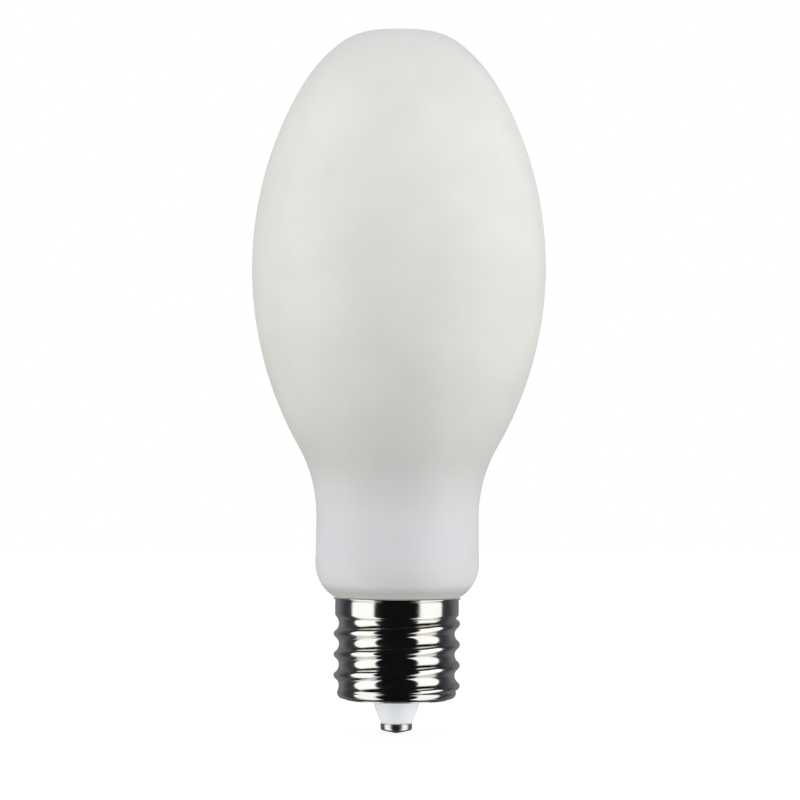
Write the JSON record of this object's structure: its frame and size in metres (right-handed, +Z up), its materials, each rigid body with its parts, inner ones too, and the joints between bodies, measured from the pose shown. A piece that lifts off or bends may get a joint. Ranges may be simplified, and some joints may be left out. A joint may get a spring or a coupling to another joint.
{
  "type": "led bulb",
  "caption": "Opal ellipsoidal LED bulb with a hollow necked foot, on a large nickel-plated screw base with a tapered insulator and a domed centre contact.",
  "frame": {"origin": "lowest point of the tip, on the lamp's axis", "axes": "+Z up the lamp's axis, from the tip to the crown of the bulb; the lamp stands cap down, as in the picture; the camera looks along +Y"},
  "size_m": [0.09, 0.09, 0.2153],
  "materials": {
    "opal_glass": "opal white, smooth blown glass",
    "nickel_plate": "bright nickel plate on rolled sheet",
    "cement": "fired basing cement, chalky",
    "white_moulding": "white moulded insulator, semi-gloss",
    "solder": "solder, dull",
    "board_laminate": "solder-masked glass laminate",
    "capacitor_sleeve": "shrunk sleeve",
    "ferrite": "ferrite and enamelled wire",
    "film_case": "moulded box",
    "varistor_coat": "dipped epoxy",
    "resistor_coat": "lacquered ceramic",
    "black_resin": "moulded resin",
    "wire_sleeve": "heat-proof sleeve",
    "tinned_wire": "tinned wire"
  },
  "bodies": {
    "root": {"glass_bulb": "opal_glass", "screw_shell": "nickel_plate", "basing_cement": "cement", "insulator": "white_moulding", "centre_contact": "nickel_plate", "tip_solder": "solder", "driver_board": "board_laminate", "bulk_capacitor": "capacitor_sleeve", "wound_choke": "ferrite", "film_capacitor": "film_case", "disc_varistor": "varistor_coat", "fusible_resistor": "resistor_coat", "bridge_rectifier": "black_resin", "controller_chip": "black_resin", "output_diode": "black_resin", "sense_resistors": "black_resin", "live_wire": "wire_sleeve", "shell_wire": "wire_sleeve", "stem_wire_plus": "tinned_wire", "stem_wire_minus": "tinned_wire"}
  },
  "joints": []
}
